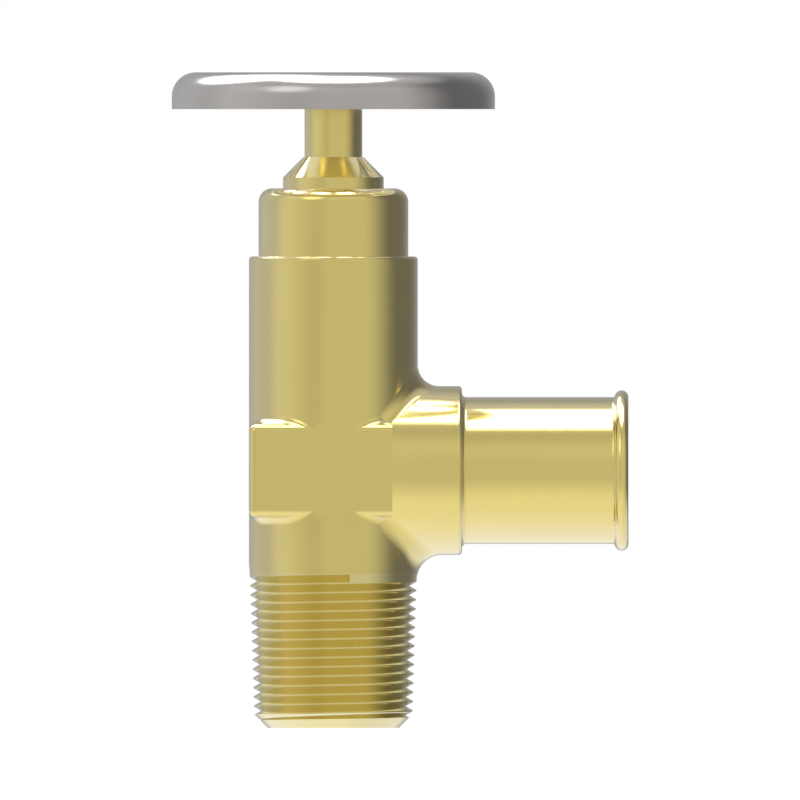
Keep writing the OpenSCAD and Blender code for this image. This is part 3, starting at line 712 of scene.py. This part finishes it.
class VALVE_OT_inner_pieces(bpy.types.Operator):
    """Bare brass, rubber and packing inside the valve"""

    bl_idname = "valve.inner_pieces"
    bl_label = "Inner pieces"

    def execute(self, context):
        look = context.scene.valve_finish
        dress(["disc_holder", "seat_washer_retainer", "seat_screw", "packing_washer", "gland_follower"],
              finish("turned_brass", lambda bench: turned_brass(bench, look)))
        dress(["seat_washer", "bonnet_o_ring"],
              finish("moulded_rubber", lambda bench: moulded_rubber(bench, look)))
        dress(["packing_ring_1", "packing_ring_2", "packing_ring_3"],
              finish("pressed_packing", lambda bench: pressed_packing(bench, look)))
        return {"FINISHED"}


class VALVE_OT_handwheel(bpy.types.Operator):
    """Satin coated sheet for the handwheel"""

    bl_idname = "valve.handwheel"
    bl_label = "Handwheel"

    def execute(self, context):
        look = context.scene.valve_finish
        dress(["handwheel"], finish("satin_wheel", lambda bench: satin_wheel(bench, look)))
        return {"FINISHED"}


class VALVE_OT_fasteners(bpy.types.Operator):
    """Plated screw and washer, spring steel lock washer and clip"""

    bl_idname = "valve.fasteners"
    bl_label = "Screw, washers and clip"

    def execute(self, context):
        look = context.scene.valve_finish
        dress(["wheel_screw", "wheel_washer"],
              finish("zinc_plate", lambda bench: plated_steel(bench, look.zinc, look.zinc_gloss)))
        dress(["lock_washer", "swivel_clip"],
              finish("spring_steel", lambda bench: plated_steel(bench, look.spring, look.spring_gloss)))
        return {"FINISHED"}


class VALVE_OT_studio(bpy.types.Operator):
    """Pale floor, soft studio light and the camera"""

    bl_idname = "valve.studio"
    bl_label = "Studio"

    def execute(self, context):
        studio = context.scene.valve_studio
        half = studio.floor_size / 2
        corners = np.array([[-half, -half, 0], [half, -half, 0], [half, half, 0], [-half, half, 0]])
        floor = mesh_object("floor", corners, np.array([[0, 1, 2, 3]]))
        made = bpy.data.materials.new("pale_floor")
        bench = Bench(made)
        sees = bench.add("ShaderNodeLightPath", out="Is Camera Ray")
        paint = bench.add("ShaderNodeBsdfDiffuse", {}, {"Color": tuple(studio.floor)})
        glow = bench.add("ShaderNodeEmission", {}, {"Color": (1, 1, 1), "Strength": 1.0})
        plain_white = 0.72  # share of the floor that the camera sees without its shadow
        both = bench.add("ShaderNodeMixShader", {}, {0: sees * plain_white, 1: paint, 2: glow})
        bench.add("ShaderNodeOutputMaterial", {}, {"Surface": both})
        floor.data.materials.append(made)
        floor.visible_glossy = False
        self.light(context.scene, studio)
        self.lamp(context.scene)
        self.camera(context.scene, studio)
        return {"FINISHED"}

    def light(self, scene, studio):
        """World: plain white to the camera. To metal it is a room with walls, panels and a softbox overhead.

        Turn is the angle from the front about Z, positive to the right, and rise the angle above the horizon.
        The angles written here are in degrees.
        """
        world = bpy.data.worlds.new("studio")
        scene.world = world
        bench = Bench(world)
        way = bench.add("ShaderNodeTexCoord", out="Generated")
        x, y, z = bench.parts(way)
        turn = x.math("ARCTAN2", x, y * -1)
        rise = z.math("ARCSINE", z)

        def ramp(along, start, end):
            """0 before one angle and 1 after another."""
            return along.step(math.radians(start), math.radians(end))

        def strip(along, centre, half, soft):
            """1 within half a width of an angle, falling to 0 over the soft edge."""
            off = along - math.radians(centre)
            return 1 - ramp(off.unsigned(), half, half + soft)

        def panel(side, up, inner, outer):
            """1 within the inner angle of a direction, 0 past the outer angle."""
            side, up = math.radians(side), math.radians(up)
            level = math.cos(up)
            centre = (math.sin(side) * level, -math.cos(side) * level, math.sin(up))
            near = bench.add("ShaderNodeVectorMath", {"operation": "DOT_PRODUCT"}, {0: way, 1: centre},
                             "Value")
            return near.step(math.cos(math.radians(outer)), math.cos(math.radians(inner)))

        def over(under, level, mask):
            """One brightness laid over another where the mask is 1."""
            return under * (1 - mask) + mask * level

        bright_strip, dark_strip, bright_band = 0.06, 0.065, 0.05
        front = strip(turn, centre=-72, half=6, soft=20) * bright_strip
        front = front - strip(turn, centre=-27, half=4, soft=16) * dark_strip + studio.front
        front = front + strip(rise, centre=30, half=2, soft=14) * bright_band
        room = over(front, studio.side, ramp(turn * -1, 80, 108))
        room = over(room, studio.shade, ramp(turn, 44, 100))
        away = turn.unsigned()
        room = over(room, studio.back, ramp(away, 126, 182))
        room = over(room, studio.upper, ramp(rise, 38, 58))
        room = room + panel(side=-36, up=34, inner=6, outer=19) * studio.key
        room = room + panel(side=-135, up=52, inner=15, outer=25) * studio.window
        room = room + panel(side=0, up=90, inner=16.5, outer=24.5) * studio.softbox
        fall = rise * -1
        straight_down, lower_right = 0.02, 0.13
        ground = ramp(fall, 55, 90) * straight_down - x.step(0, 0.6) * lower_right + studio.ground
        nearer_behind = ramp(away, 60, 150) * 0.7 + 1
        seen = over(room, ground, ramp(fall * nearer_behind, 8, 48))
        path = bench.add("ShaderNodeLightPath", out="Is Glossy Ray")
        plain = bench.add("ShaderNodeBackground", {}, {"Color": (1, 1, 1), "Strength": 1.0})
        grey = bench.vector(seen, seen, seen)
        mirrored = bench.add("ShaderNodeBackground", {}, {"Color": grey, "Strength": 1.0})
        both = bench.add("ShaderNodeMixShader", {}, {0: path, 1: plain, 2: mirrored})
        bench.add("ShaderNodeOutputWorld", {}, {"Surface": both})

    def lamp(self, scene):
        """One soft lamp overhead, which gives the floor its shadow and isn't mirrored."""
        lamp = bpy.data.lights.new("overhead", "AREA")
        lamp.shape, lamp.size, lamp.size_y, lamp.energy = "RECTANGLE", 0.5, 0.3, 1.2
        holder = bpy.data.objects.new("overhead", lamp)
        holder.location = (-0.05, -0.08, 0.5)
        holder.rotation_euler = (-0.16, -0.1, 0)
        holder.visible_glossy = False
        scene.collection.objects.link(holder)

    def camera(self, scene, studio):
        """Square-on view from the front with no perspective."""
        lens = bpy.data.cameras.new("front")
        lens.type, lens.ortho_scale = "ORTHO", studio.view_width
        lens.clip_start, lens.clip_end = 0.001, 10
        distance = 0.4
        camera = bpy.data.objects.new("front", lens)
        camera.location = (studio.view_x, -distance, studio.view_z)
        camera.rotation_euler = (math.pi / 2, 0, 0)
        scene.collection.objects.link(camera)
        scene.camera = camera
        scene.view_settings.view_transform = "Standard"


class VALVE_PT_panel(bpy.types.Panel):
    """Sizes, finishes and steps of the drain valve"""

    bl_label = "Drain valve"
    bl_idname = "VALVE_PT_panel"
    bl_space_type = "VIEW_3D"
    bl_region_type = "UI"
    bl_category = "Drain valve"

    def draw(self, context):
        for name in SETTINGS:
            group = getattr(context.scene, name)
            for setting in group.__annotations__:
                self.layout.prop(group, setting)
        for step in STEPS:
            self.layout.operator(step.bl_idname)


SETTINGS = {
    "valve_thread": PipeThreadSizes,
    "valve_body": BodySizes,
    "valve_finish": FinishSettings,
    "valve_studio": StudioSettings,
}
STEPS = (
    VALVE_OT_studio,
    VALVE_OT_threaded_body,
    VALVE_OT_bright_pieces,
    VALVE_OT_inner_pieces,
    VALVE_OT_handwheel,
    VALVE_OT_fasteners,
)


def register():
    """Registers the settings, the steps and the panel."""
    for group in SETTINGS.values():
        bpy.utils.register_class(group)
    for name, group in SETTINGS.items():
        setattr(bpy.types.Scene, name, bpy.props.PointerProperty(type=group))
    for kind in (*STEPS, VALVE_PT_panel):
        bpy.utils.register_class(kind)


def unregister():
    """Takes back what register made."""
    for kind in (VALVE_PT_panel, *reversed(STEPS)):
        bpy.utils.unregister_class(kind)
    for name, group in SETTINGS.items():
        delattr(bpy.types.Scene, name)
        bpy.utils.unregister_class(group)


def main():
    """Runs every step in order."""
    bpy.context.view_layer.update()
    register()
    for step in STEPS:
        group, name = step.bl_idname.split(".")
        getattr(getattr(bpy.ops, group), name)()


if __name__ == "__main__":
    main()
